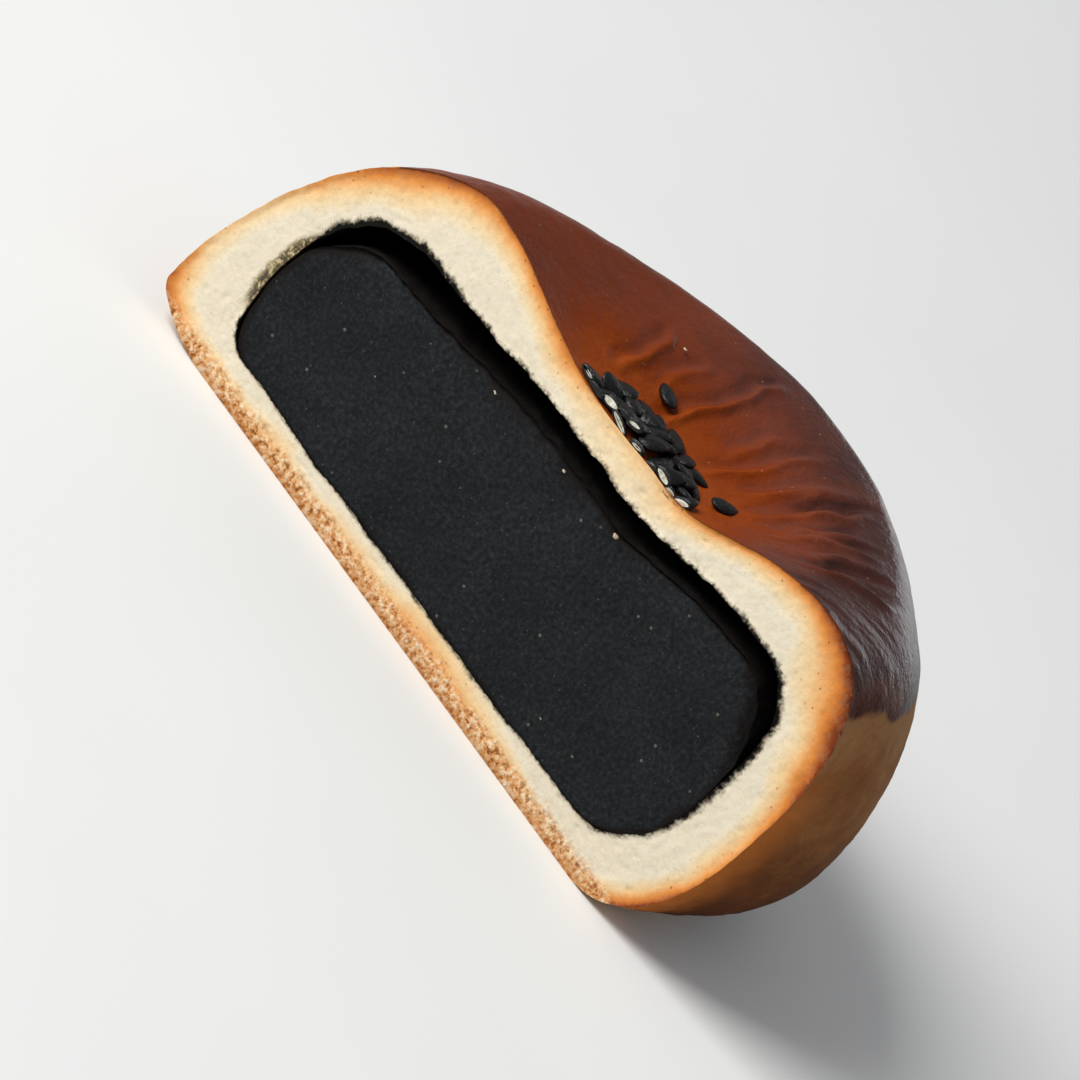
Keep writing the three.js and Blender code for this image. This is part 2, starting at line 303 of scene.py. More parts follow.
# The hollow's wall follows the uneven paste, and is torn near the roof, where the
# paste shrank away from it.
HOLLOW_COLUMNS = 45


def paste_waves(points):
    """Slow unevenness of the paste's outline, which the bread's wall follows."""
    return 0.34 * noise(points, 6.3, 24) + 0.14 * noise(points, 2.4, 25)


def end_packed_angles(columns):
    """Angles from 0 to pi, closer together at both ends of the cut."""
    return np.pi * (1 - np.cos(np.linspace(0, np.pi, columns))) / 2


hollow_angle = end_packed_angles(HOLLOW_COLUMNS)
hollow_r, hollow_a, hollow_z = shell_grid(HOLLOW, hollow_angle, BREAD_ROWS)
hollow = place(hollow_r, hollow_a, hollow_z)
roof = ease_between(hollow_z, 15, 24)
torn = 0.24 * noise(hollow, 2.9, 21) + 0.14 * noise(hollow, 1.3, 22) + 0.07 * noise(hollow, 0.55, 23)
torn = (0.35 + 0.65 * roof) * torn + (1 - roof) * paste_waves(hollow)
hollow = keep_behind_cut(hollow + outward(hollow) * torn[..., None])

# The cut face: rings from the crust's edge to the hollow's edge. The crumb is pushed
# back from the cut plane by soft waves, a fine cottony grain and a few small pores.
FACE_RINGS = 28


def cut_loop(grid):
    """The grid's outline on the cut plane: down its first column, up its last."""
    return np.concatenate([grid[:, 0], grid[-2:0:-1, -1]])


outer_loop = cut_loop(crust)
inner_loop = cut_loop(hollow)
ring = np.linspace(0, 1, FACE_RINGS + 1)[:, None, None]
face = outer_loop[None] * (1 - ring) + inner_loop[None] * ring
from_crust = np.linalg.norm(face - outer_loop[None], axis=-1)
from_hollow = np.linalg.norm(face - inner_loop[None], axis=-1)
inside = ease_between(from_crust, 0, 0.7) * ease_between(from_hollow, 0, 0.5)
waves = 0.08 * (1 + noise(face, 4.1, 31))
cotton = 0.04 * (1 + noise(face, 0.9, 32)) + 0.04 * (1 + noise(face, 0.45, 33))
pores = 0.16 * ease_between(noise(face, 0.7, 34), 0.6, 0.9)
face[..., 1] += inside * (waves + cotton + pores)

# Heat went about 4 mm deep. How brown the outermost crumb is differs from place to place:
# it is darkest at the right shoulder and palest low on the left and under the dimple. Knots
# of place and start, from -0.3 dark to 0.42 pale, follow the crust over the top from left
# to right, and up each end.
TOP_KNOTS_X = (-40, -31, -26, -18, -11, -6, -3, 0, 8, 12, 16, 23, 29, 34, 38)
TOP_KNOTS_START = (
    0.40, -0.06, -0.14, -0.03, 0.0, -0.04, 0.15, 0.38, 0.38, 0.12, -0.03, -0.02, -0.20, -0.30, -0.22)
END_KNOTS_Z = (0, 6, 10, 15, 19, 24, 29)
RIGHT_KNOTS_START = (-0.20, -0.16, 0.04, 0.14, 0.04, -0.16, -0.24)
LEFT_KNOTS_START = (-0.18, 0.10, 0.42, 0.42, 0.25, 0.06, -0.05)
GOLDEN_DEPTH = 4.4


def bake_start_at(grid):
    """How brown the outermost crumb is: the top's knots above 29 mm, an end's below 24."""
    across, height = grid[..., 0], grid[..., 2]
    top_start = np.interp(across, TOP_KNOTS_X, TOP_KNOTS_START)
    right_start = np.interp(height, END_KNOTS_Z, RIGHT_KNOTS_START)
    left_start = np.interp(height, END_KNOTS_Z, LEFT_KNOTS_START)
    end_start = np.where(across > 0, right_start, left_start)
    over_top = ease_between(height, 24, 29)
    return top_start * over_top + end_start * (1 - over_top)


face_x, face_z = face[..., 0], face[..., 2]
over_top = ease_between(face_z, 24, 29)
golden_width = GOLDEN_DEPTH * (1 + 0.22 * noise(face, 3.7, 35))
# The golden layer is thinner right of the dimple and at the right foot, and thicker at
# the right shoulder.
right_slope = ease_between(face_x, 12, 14) * (1 - ease_between(face_x, 25, 29)) * over_top
right_shoulder = ease_between(face_x, 26, 29) * over_top
right_foot = ease_between(face_x, 15, 25) * (1 - ease_between(face_z, 17, 23))
thinner = 0.2 * right_slope - 0.18 * right_shoulder + (1 - 0.5 * ease_between(face_z, 4, 12)) * right_foot
bake_share = bake_start_at(face) + from_crust * (1 + thinner) / golden_width

# Paste blackened the hollow's wall and smeared over its edge, furthest at the roof's left.
# At the loose left end its oil soaked into the crumb and left it olive-brown instead.


def oil_at(grid):
    """1 at the hollow's upper left corner, 0 away from it."""
    across, height = grid[..., 0], grid[..., 2]
    return ease_between(-across, 26, 30) * ease_between(height, 6, 10) * (1 - ease_between(height, 16, 19.5))


smear_reach = 0.10 + 0.30 * ease_between(face_x, 18, 26) * ease_between(face_z, 8, 14)
smear_reach = smear_reach + 0.65 * ease_between(-face_x, 14, 22) * ease_between(face_z, 15, 20)
face_edge = from_hollow - smear_reach * (1 - oil_at(face))
wall_edge = -0.3 - (3.0 - 2.4 * oil_at(hollow)) * hollow[..., 1] + 0.5 * oil_at(hollow)
halo = oil_at(face) * (1 - ease_between(from_hollow, 0.3, 1.8))

# Crust, face and hollow are joined into one closed skin. Each point keeps, for the colours,
# its place in the golden layer, its distances from the crust and from the hollow's edge,
# its height over the glaze's edge, its folds' height, its share of the oily halo, and the
# height that it browned as if it had. The face repeats what the crust's edge has, so that
# both agree where they are merged.


def close_columns(values):
    """Repeats a ring grid's first column as its last, which closes the rings."""
    return np.concatenate([values, values[:, :1]], axis=1)


def edge_over_face(values):
    """The values along the crust's edge, repeated in every ring of the face."""
    return cut_loop(values)[None, :] + 0 * from_crust


def over_bread(on_crust, on_face, on_hollow):
    """The values of the three grids, in the order of the bread's points."""
    return np.concatenate([on_crust.ravel(), close_columns(on_face).ravel(), on_hollow.ravel()])


crust_relief = crust_wrinkles + crust_folds
no_crust = 0 * crust_r
no_hollow = 0 * hollow_r
bread_values = {
    "bake": over_bread(bake_start_at(crust), bake_share, no_hollow + 1),
    "crust_depth": over_bread(no_crust, from_crust, no_hollow + 9),
    "hollow_edge": over_bread(no_crust + 9, face_edge, wall_edge),
    "glaze_level": over_bread(over_glaze_edge, edge_over_face(over_glaze_edge), no_hollow - 9),
    "fold": over_bread(crust_relief, edge_over_face(crust_relief), no_hollow),
    "halo": over_bread(no_crust, halo, oil_at(hollow)),
    "browned": over_bread(browned_z, edge_over_face(browned_z), no_hollow),
}
points, quads = join_grids([crust, close_columns(face), hollow])
# The crust's quads come first and wear material 0. The rest wear material 1.
wears = (np.arange(len(quads)) >= BREAD_ROWS * (CRUST_COLUMNS - 1)).astype(np.int32)

# The bun's axes become the part's: its cut plane is the solid's front, and it is
# centred on the solid from end to end.
solid_low, solid_high = (np.array(corner) * 1000 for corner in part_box("bread"))
middle_x = (crust[..., 0].min() + crust[..., 0].max()) / 2
OFFSET = np.array([(solid_low[0] + solid_high[0]) / 2 - middle_x, solid_low[1], 0.0])


def to_part(bun_points):
    """Millimetres in the bun's axes to metres in the part's, kept inside its solids."""
    moved = bun_points + OFFSET
    return np.clip(moved, solid_low + 0.01, solid_high - 0.01) / 1000


def make_mesh(name, metres, corners, material_numbers=None, values=None, sharp=50):
    """A smooth mesh from points and faces, closed at its seams and poles, with a value
    of each named kind at every point. It is sharp at a sharp angle and between materials."""
    mesh = bpy.data.meshes.new(name)
    mesh.from_pydata(metres, [], corners)
    if material_numbers is not None:
        mesh.polygons.foreach_set("material_index", material_numbers)
    for kind, numbers in (values or {}).items():
        mesh.attributes.new(kind, "FLOAT", "POINT").data.foreach_set("value", numbers.astype(np.float32))
    shape = bmesh.new()
    shape.from_mesh(mesh)
    bmesh.ops.remove_doubles(shape, verts=shape.verts, dist=1e-7)
    bmesh.ops.dissolve_degenerate(shape, edges=shape.edges, dist=1e-8)
    bmesh.ops.recalc_face_normals(shape, faces=shape.faces)
    for edge in shape.edges:
        one_material = len({corner.material_index for corner in edge.link_faces}) == 1
        edge.smooth = one_material and edge.calc_face_angle(0) < math.radians(sharp)
    shape.to_mesh(mesh)
    shape.free()
    mesh.polygons.foreach_set("use_smooth", np.ones(len(mesh.polygons), dtype=bool))
    piece = bpy.data.objects.new(name, mesh)
    bpy.context.collection.objects.link(piece)
    return piece


bread = make_mesh("bread_half", to_part(points), quads, wears, bread_values)


class Nodes:
    """Short ways to add the nodes used here to a material's or a group's tree."""

    def __init__(self, tree):
        self.tree = tree

    def add(self, kind, **settings):
        node = self.tree.nodes.new(kind)
        for setting, value in settings.items():
            setattr(node, setting, value)
        return node

    def feed(self, socket, value):
        """Links an output to the socket, or sets the socket to a number or colour."""
        if isinstance(value, bpy.types.NodeSocket):
            self.tree.links.new(value, socket)
        elif socket.type == "RGBA":
            socket.default_value = (*(value if isinstance(value, tuple) else (value,) * 3), 1)
        else:
            socket.default_value = value

    def group(self, tree, **given):
        """Places a node group, feeds its named sockets, and gives its outputs."""
        node = self.add("ShaderNodeGroup", node_tree=tree)
        for name, value in given.items():
            self.feed(node.inputs[name], value)
        return node.outputs

    def grain(self, place, size, detail, roughness):
        return self.group(GRAIN, Place=place, Size=size, Detail=detail, Roughness=roughness)["Grain"]

    def specks(self, place, spacing, width, share):
        return self.group(SPECKS, Place=place, Spacing=spacing, Width=width, Share=share)["Mask"]

    def place_in_part(self):
        """Object coordinates in millimetres, from the part's own origin."""
        where = self.add("ShaderNodeTexCoord")
        mapping = self.add("ShaderNodeMapping")
        mapping.inputs["Scale"].default_value = (1000, 1000, 1000)
        self.feed(mapping.inputs["Vector"], where.outputs["Object"])
        return mapping.outputs["Vector"]

    def value(self, name):
        return self.add("ShaderNodeAttribute", attribute_name=name).outputs["Fac"]

    def along(self, axis, where):
        split = self.add("ShaderNodeSeparateXYZ")
        self.feed(split.inputs[0], where)
        return split.outputs[axis]

    def math(self, operation, first, second=0.0, third=0.0):
        node = self.add("ShaderNodeMath", operation=operation)
        for socket, value in zip(node.inputs, (first, second, third)):
            self.feed(socket, value)
        return node.outputs[0]

    def times(self, first, second, plus=0.0):
        """Two values multiplied, and a third added."""
        return self.math("MULTIPLY_ADD", first, second, plus)

    def shifted(self, value, grain, reach):
        """A value, moved up and down by a grain from 0 to 1, over that reach in all."""
        return self.math("ADD", value, self.times(grain, reach, -reach / 2))

    def ramp(self, value, stops):
        """A colour or grey for each step of a value."""
        node = self.add("ShaderNodeValToRGB")
        elements = node.color_ramp.elements
        while len(elements) < len(stops):
            elements.new(0.5)
        for element, (position, colour) in zip(elements, stops):
            element.position = position
            element.color = (*colour, 1)
        self.feed(node.inputs["Fac"], value)
        return node.outputs["Color"]

    def step(self, value, start, end):
        """0 to 1 as the value goes from start up or down to end, eased."""
        node = self.add("ShaderNodeMapRange", interpolation_type="SMOOTHSTEP")
        for name, given in (("Value", value), ("From Min", start), ("From Max", end)):
            self.feed(node.inputs[name], given)
        return node.outputs["Result"]

    def mix(self, share, first, second):
        node = self.add("ShaderNodeMix", data_type="RGBA")
        for number, value in ((0, share), (6, first), (7, second)):
            self.feed(node.inputs[number], value)
        return node.outputs[2]

    def bump(self, height, distance, strength=1.0, after=None):
        """Raises the surface by up to a distance in millimetres, for shading only."""
        node = self.add("ShaderNodeBump")
        node.inputs["Strength"].default_value = strength
        node.inputs["Distance"].default_value = distance / 1000
        self.feed(node.inputs["Height"], height)
        if after is not None:
            self.feed(node.inputs["Normal"], after)
        return node.outputs["Normal"]


def start_group(name, inputs, outputs):
    """An empty node group with named number, vector (place) and colour sockets."""
    kinds = {"Place": "NodeSocketVector", "Colour": "NodeSocketColor"}
    tree = bpy.data.node_groups.new(name, "ShaderNodeTree")
    for side, sockets in (("INPUT", inputs), ("OUTPUT", outputs)):
        for socket in sockets:
            tree.interface.new_socket(socket, in_out=side, socket_type=kinds.get(socket, "NodeSocketFloat"))
    nodes = Nodes(tree)
    return nodes, nodes.add("NodeGroupInput").outputs, nodes.add("NodeGroupOutput").inputs


def make_grain():
    """Cloudy noise from 0 to 1 whose lumps measure Size millimetres."""
    nodes, given, out = start_group("grain", ("Place", "Size", "Detail", "Roughness"), ("Grain",))
    cloud = nodes.add("ShaderNodeTexNoise")
    nodes.feed(cloud.inputs["Vector"], given["Place"])
    nodes.feed(cloud.inputs["Scale"], nodes.math("DIVIDE", 1.0, given["Size"]))
    for name in ("Detail", "Roughness"):
        nodes.feed(cloud.inputs[name], given[name])
    nodes.feed(out["Grain"], cloud.outputs["Fac"])
    return nodes.tree


def make_specks():
    """Round specks Width across, in cells Spacing apart of which a share has one."""
    nodes, given, out = start_group("specks", ("Place", "Spacing", "Width", "Share"), ("Mask",))
    cells = nodes.add("ShaderNodeTexVoronoi")
    nodes.feed(cells.inputs["Vector"], given["Place"])
    nodes.feed(cells.inputs["Scale"], nodes.math("DIVIDE", 1.0, given["Spacing"]))
    apart = nodes.times(cells.outputs["Distance"], given["Spacing"])
    picked = nodes.add("ShaderNodeSeparateColor")
    nodes.feed(picked.inputs[0], cells.outputs["Color"])
    radius = nodes.times(given["Width"], 0.5)
    spot = nodes.step(apart, nodes.times(radius, 1.2), nodes.times(radius, 0.7))
    kept = nodes.math("LESS_THAN", picked.outputs[0], given["Share"])
    nodes.feed(out["Mask"], nodes.times(spot, kept))
    return nodes.tree


GRAIN = make_grain()
SPECKS = make_specks()


def make_dry_base():
    """The dry bottom crust: orange-brown with darker pits and pale floury grains."""
    nodes, given, out = start_group("dry base", ("Place",), ("Colour", "Grains"))
    here = given["Place"]
    mealy = nodes.grain(here, 0.6, 3.0, 0.65)
    cloudy = nodes.grain(here, 3.5, 2.0, 0.5)
    tone = nodes.shifted(mealy, cloudy, 0.14)
    colour = nodes.ramp(tone, [
        (0.36, (0.200, 0.066, 0.018)),
        (0.44, (0.540, 0.250, 0.095)),
        (0.53, (0.700, 0.420, 0.210)),
        (0.62, (0.800, 0.660, 0.460)),
    ])
    outermost = nodes.step(nodes.along("Z", here), 1.1, 0.1)
    colour = nodes.mix(nodes.times(outermost, 0.45), colour, (0.33, 0.130, 0.035))
    flour = nodes.specks(here, 0.9, 0.42, 0.3)
    colour = nodes.mix(nodes.times(flour, 0.55), colour, (0.80, 0.72, 0.58))
    nodes.feed(out["Colour"], colour)
    nodes.feed(out["Grains"], nodes.times(flour, 0.4, mealy))
    return nodes.tree


DRY_BASE = make_dry_base()


def start_material(name):
    """An empty material, its nodes, and the place in the part to feed to them."""
    material = bpy.data.materials.new(name)
    material.use_nodes = True
    nodes = Nodes(material.node_tree)
    return material, nodes, nodes.place_in_part()


def finish_material(material, colour, roughness, normal, gloss=0.5):
    """Feeds the Principled shader. Gloss is its specular level."""
    shader = material.node_tree.nodes["Principled BSDF"]
    looks = {"Base Color": colour, "Roughness": roughness, "Normal": normal, "Specular IOR Level": gloss}
    for name, value in looks.items():
        Nodes(material.node_tree).feed(shader.inputs[name], value)
    return material


# The glaze goes from its palest to its darkest over this rise from the dimple's middle.
TOAST_RISE = 6.0


def baked_crust():
    """Egg-glazed top, mahogany on the crest and orange-brown in the dimple, over matt
    tan sides that darken downwards and to the right end as painted shade, and a dry mealy base."""
    material, nodes, here = start_material("baked crust")
    x = nodes.along("X", here)
    z = nodes.along("Z", here)
    fold = nodes.value("fold")
    level = nodes.value("glaze_level")
    blotch = nodes.grain(here, 9.0, 3.0, 0.55)
    small = nodes.grain(here, 1.6, 4.0, 0.6)
    speck = nodes.grain(here, 0.5, 2.0, 0.6)
    # Baking darkened the high crest most, and the low middle of the dimple least.
    toast = nodes.times(nodes.value("browned"), 1 / TOAST_RISE, -CRUST["top"] / TOAST_RISE)
    toast = nodes.shifted(nodes.shifted(nodes.shifted(toast, blotch, 0.7), small, 0.26), speck, 0.16)
    # The folds' ridges are painted paler, a painted highlight, and their creases darker, painted shade.
    toast = nodes.times(fold, -0.35, toast)
    toast = nodes.times(nodes.step(fold, -0.02, -0.12), 0.10, toast)
    # Towards the right end the glaze is painted darker: painted shade, as that end faces away from the light.
    toast = nodes.times(nodes.step(x, 16.0, 34.0), 0.35, toast)
    left = nodes.step(x, -5.0, -18.0)
    evener = nodes.times(nodes.times(left, 0.7), nodes.math("SUBTRACT", 0.64, toast))
    toast = nodes.math("ADD", toast, nodes.math("MAXIMUM", evener, 0.0))
    glaze = nodes.ramp(toast, [
        (0.0, (0.275, 0.052, 0.007)),
        (0.30, (0.190, 0.032, 0.005)),
        (0.60, (0.138, 0.026, 0.008)),
        (0.90, (0.075, 0.016, 0.007)),
        (1.0, (0.045, 0.010, 0.006)),
    ])
    blisters = nodes.specks(here, 1.5, 0.26, 0.40)
    glaze = nodes.mix(nodes.times(blisters, 0.35), glaze, (0.38, 0.20, 0.12))
    # The matt sides darken downwards, which is painted shade, and along the cut they are redder where the
    # skin is thin and lighter, which is painted light.
    tone = nodes.times(z, 1 / 30.0)
    tone = nodes.shifted(nodes.shifted(nodes.shifted(tone, blotch, 0.80), small, 0.40), speck, 0.20)
    tan = nodes.ramp(tone, [
        (0.10, (0.070, 0.022, 0.007)),
        (0.42, (0.140, 0.046, 0.013)),
        (0.70, (0.245, 0.095, 0.028)),
        (1.0, (0.370, 0.185, 0.075)),
    ])
    near_cut = nodes.step(nodes.shifted(nodes.along("Y", here), small, 4.0), -14.0, -20.0)
    near_cut = nodes.times(near_cut, nodes.step(z, 28.0, 20.0))
    tan = nodes.mix(nodes.times(near_cut, 0.75), tan, (0.500, 0.150, 0.026))
    # The darker tan at the right end is painted shade, as that end faces away from the light. Away from it
    # the sides are a paler, dusty tan.
    patch = nodes.grain(here, 14.0, 2.0, 0.5)
    mapped = nodes.shifted(tone, nodes.step(patch, 0.43, 0.55), 0.22)
    pale = nodes.ramp(mapped, [
        (0.05, (0.210, 0.080, 0.022)),
        (0.45, (0.430, 0.195, 0.070)),
        (0.75, (0.580, 0.320, 0.145)),
        (1.0, (0.670, 0.420, 0.220)),
    ])
    tan = nodes.mix(nodes.step(x, 24.0, -4.0), tan, pale)
    ragged = nodes.shifted(level, small, 0.9)
    glazed = nodes.step(ragged, -0.25, 0.35)
    # Along its lower edge the glaze is painted nearly black: painted shade and a painted dark reflection.
    shaded_glaze_edge = nodes.times(glazed, nodes.step(ragged, 2.2, 0.2))
    glaze = nodes.mix(nodes.times(shaded_glaze_edge, 0.75), glaze, (0.040, 0.012, 0.008))
    colour = nodes.mix(glazed, tan, glaze)
    base = nodes.group(DRY_BASE, Place=here)
    under = nodes.step(nodes.shifted(z, small, 2.4), 2.4, 0.8)
    colour = nodes.mix(under, colour, base["Colour"])
    dry = nodes.times(small, 0.15, 0.62)
    wet = nodes.times(small, 0.20, 0.24)
    roughness = nodes.mix(glazed, dry, wet)
    pitted = nodes.bump(speck, 0.10, 0.8)
    mealy = nodes.bump(nodes.times(base["Grains"], under), 0.35, 0.6, pitted)
    # The egg dried dull in the dimple and on the left, and stayed glossy on the crest.
    shine = nodes.times(nodes.step(toast, 0.15, 0.65), nodes.step(x, -18.0, 8.0))
    shine = nodes.times(shine, nodes.times(shaded_glaze_edge, -0.7, 1.0))
    shine = nodes.times(shine, nodes.times(nodes.step(z, 29.0, 33.5), 0.65, 0.35))
    shine = nodes.times(shine, 0.32, 0.03)
    gloss = nodes.mix(glazed, 0.05, shine)
    return finish_material(material, colour, roughness, nodes.bump(small, 0.30, 0.5, mealy), gloss)


def cut_crumb():
    """Cream crumb that turns golden and then orange-brown towards the crust, floury at
    the base, stained by the paste at the hollow's edge and black inside."""
    material, nodes, here = start_material("cut crumb")
    z = nodes.along("Z", here)
    soft = nodes.grain(here, 2.2, 3.0, 0.6)
    fine = nodes.grain(here, 0.5, 3.0, 0.65)
    bake = nodes.shifted(nodes.shifted(nodes.value("bake"), soft, 0.30), fine, 0.16)
    # The ramp's own 0 is a bake of -0.4, and its 1 is a bake of 1.1.
    baked = nodes.ramp(nodes.times(bake, 1 / 1.5, 0.4 / 1.5), [
        (0.08, (0.060, 0.011, 0.007)),
        (0.173, (0.205, 0.044, 0.013)),
        (0.267, (0.490, 0.140, 0.030)),
        (0.36, (0.670, 0.245, 0.052)),
        (0.453, (0.765, 0.370, 0.130)),
        (0.577, (0.800, 0.530, 0.260)),
        (0.732, (0.800, 0.625, 0.385)),
        (0.90, (0.780, 0.690, 0.520)),
        (1.0, (0.740, 0.670, 0.525)),
    ])
    # Small holes are painted a little darker than the crumb, as painted shade in them, and a few burnt dots
    # lie near the crust.
    shaded_pores = nodes.mix(0.16, baked, (0.50, 0.34, 0.19))
    colour = nodes.mix(nodes.step(fine, 0.34, 0.56), shaded_pores, baked)
    dots = nodes.specks(here, 0.8, 0.24, 0.5)
    near_crust = nodes.step(bake, 0.8, 0.25)
    burnt = nodes.times(dots, nodes.times(near_crust, 0.5, 0.12))
    colour = nodes.mix(burnt, colour, (0.16, 0.06, 0.02))
    # The glaze shows as a thin dark line where the knife went through it.
    line = nodes.step(nodes.shifted(nodes.value("crust_depth"), fine, 0.2), 0.32, 0.05)
    line = nodes.times(line, nodes.step(nodes.value("glaze_level"), -0.3, 0.6))
    line = nodes.times(line, nodes.step(bake, 0.40, 0.18))
    colour = nodes.mix(nodes.times(line, 0.85), colour, (0.075, 0.018, 0.007))
    base = nodes.group(DRY_BASE, Place=here)
    low = nodes.step(nodes.shifted(z, soft, 2.6), 2.7, 1.2)
    colour = nodes.mix(nodes.times(low, 0.92), colour, base["Colour"])
    # The oily halo is olive-brown and speckled, and smears of paste blacken the very edge.
    oily = nodes.step(nodes.shifted(nodes.shifted(nodes.value("halo"), fine, 1.3), soft, 0.7), 0.15, 0.70)
    speckled = nodes.ramp(fine, [
        (0.40, (0.014, 0.011, 0.006)),
        (0.50, (0.110, 0.078, 0.030)),
        (0.62, (0.480, 0.380, 0.200)),
    ])
    colour = nodes.mix(nodes.times(oily, 0.92), colour, speckled)
    edge = nodes.shifted(nodes.shifted(nodes.value("hollow_edge"), soft, 0.8), fine, 1.2)
    stained = nodes.step(edge, 0.45, -0.10)
    colour = nodes.mix(nodes.times(stained, 0.75), colour, (0.085, 0.062, 0.036))
    smeared = nodes.step(edge, 0.10, -0.28)
    colour = nodes.mix(smeared, colour, (0.006, 0.006, 0.005))
    roughness = nodes.mix(smeared, 1.0, 0.6)
    pits = nodes.bump(fine, 0.16, 0.4)
    mealy = nodes.bump(nodes.times(base["Grains"], low), 0.35, 0.7, pits)
    return finish_material(material, colour, roughness, nodes.bump(soft, 0.20, 0.2, mealy), 0.02)


bread.data.materials.append(baked_crust())
bread.data.materials.append(cut_crumb())
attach(bread, "root")
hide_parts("bread")

# ---- Filling ----
# A block of stiff black paste. It was cut with the bread, so its face is flat and
# fine-grained. Its top shrank away from the roof in the oven and stayed rough.

PASTE = dict(
    top=24.4, bottom=4.55,
    right=dict(flat=3, crest_r=21, crest_z=26.8, side_r=28.3, side_z=15.5, foot=18.5, upper=2.5, lower=2.25),
    left=dict(flat=4, crest_r=26.2, crest_z=22.2, side_r=35.3, side_z=11, foot=31.5, upper=2.3, lower=2.55),
    back=dict(flat=4, crest_r=21.5, crest_z=25.8, side_r=31.4, side_z=11.8, foot=23.5, upper=2, lower=2.05),
)
PASTE_ROWS = 200
PASTE_COLUMNS = 71
paste_angle = end_packed_angles(PASTE_COLUMNS)
paste_r, paste_a, paste_z = shell_grid(PASTE, paste_angle, PASTE_ROWS)
paste = place(paste_r, paste_a, paste_z)
loose_top = ease_between(paste_z, 15, 22)
# Below the loose top the paste presses into the bread, by the gap and a little more.
press = (0.45 + paste_waves(paste)) * (1 - loose_top)
lumpy = 0.20 * noise(paste, 2.9, 41) + 0.16 * noise(paste, 1.2, 42) + 0.08 * noise(paste, 0.6, 46)
paste_relief = press + (0.2 + 0.8 * loose_top) * lumpy - 0.1 * loose_top
PASTE_FACE = 0.16
paste = keep_behind_cut(paste + outward(paste) * paste_relief[..., None], PASTE_FACE)

# The cut face: the outline shrunk in rings to one middle point, with a fine grain and
# a slow unevenness left by the knife. It rounds off towards the loose top.
PASTE_MIDDLE = np.array([1.0, PASTE_FACE, 14.0])
PASTE_RINGS = 70
paste_loop = cut_loop(paste)
paste_ring = np.linspace(0, 1, PASTE_RINGS + 1)[:, None, None] ** 1.3
paste_face = paste_loop[None] * (1 - paste_ring) + PASTE_MIDDLE * paste_ring
paste_rim = np.linalg.norm(paste_face - paste_loop[None], axis=-1)
loose_edge = ease_between(paste_loop[:, 2], 15, 22)[None, :]
from_rim = ease_between(paste_rim, 0, 1.2)
paste_grain = 0.10 * noise(paste_face, 5, 43) + 0.06 * noise(paste_face, 0.9, 44)
paste_grain = paste_grain + 0.04 * noise(paste_face, 0.45, 45)
rounded = 0.5 * loose_edge * (1 - ease_between(paste_rim, 0, 1.4)) * ease_between(paste_rim, -0.1, 0.1)
paste_face[..., 1] += from_rim * paste_grain * (paste_ring[..., 0] < 1) + rounded
for column in (0, -1):
    paste[:, column, 1] += 0.5 * ease_between(paste[:, column, 2], 15, 22)
paste_face[0] = cut_loop(paste)
paste_face = close_columns(paste_face)
paste_points, paste_quads = join_grids([paste, paste_face])
# Its colour turns to the skin's over a wider band at the loose top.
rim_share = paste_rim / (1 + 1.4 * loose_edge)
rim_share = np.concatenate([np.zeros(paste_r.size), close_columns(rim_share).ravel()])
filling = make_mesh("filling_half", to_part(paste_points), paste_quads, values={"from_rim": rim_share})


def black_paste():
    """Matt, nearly black with a blue cast, with a fine grain, a few pale hulls and dust.
    Its rough skin and the edge of its face are a browner black."""
    material, nodes, here = start_material("black paste")
    grit = nodes.grain(here, 0.45, 3.0, 0.7)
    cloudy = nodes.grain(here, 6.0, 3.0, 0.6)
    face_colour = nodes.ramp(nodes.shifted(grit, cloudy, 0.25), [
        (0.30, (0.0045, 0.0052, 0.0062)),
        (0.50, (0.0105, 0.0120, 0.0140)),
        (0.72, (0.0240, 0.0265, 0.0300)),
    ])
    hulls = nodes.specks(here, 1.7, 0.32, 0.34)
    face_colour = nodes.mix(nodes.times(hulls, 0.55), face_colour, (0.20, 0.18, 0.14))
    dust = nodes.specks(here, 0.7, 0.15, 0.30)
    face_colour = nodes.mix(nodes.times(dust, 0.35), face_colour, (0.16, 0.17, 0.17))
    rim = nodes.shifted(nodes.shifted(nodes.value("from_rim"), grit, 0.7), cloudy, 1.2)
    colour = nodes.mix(nodes.step(rim, 0.0, 0.9), (0.0062, 0.0044, 0.0036), face_colour)
    return finish_material(material, colour, 0.8, nodes.bump(grit, 0.20, 0.7), 0.12)


filling.data.materials.append(black_paste())
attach(filling, "root")
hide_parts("filling")

# ---- Sesame seeds ----
# Black sesame heaped in the dimple and stuck down by the egg glaze, with two loose
# ones behind. The knife cut through the front ones and shows their pale kernels.

SEED_LENGTH, SEED_WIDTH, SEED_THICKNESS, SEED_TAPER = 3.3, 1.95, 1.0, 0.28
PATCH_RADIUS, PATCH_SPACING, PATCH_COUNT, PATCH_HEAP = 7.7, 1.0, 60, 1.1
SEED_LIFT, FRONT_LIMIT = 0.25, -0.9
SEED_ROLL, SEED_PITCH = 0.9, 0.8
GOLDEN_ANGLE = math.pi * (3 - math.sqrt(5))
LOOSE_SEEDS = ((11.1, 113, 150), (10.3, 35, 60))


def seeded_random(start):
    """The part's own draw: a 32-bit mix of a counter, from 0 to 1."""
    state = start
    mask = 0xFFFFFFFF
    while True:
        state = (state + 0x6D2B79F5) & mask
        mixed = (state ^ state >> 15) * (1 | state) & mask
        mixed ^= (mixed + ((mixed ^ mixed >> 7) * (61 | mixed) & mask)) & mask
        yield ((mixed ^ mixed >> 14) & mask) / 4294967296


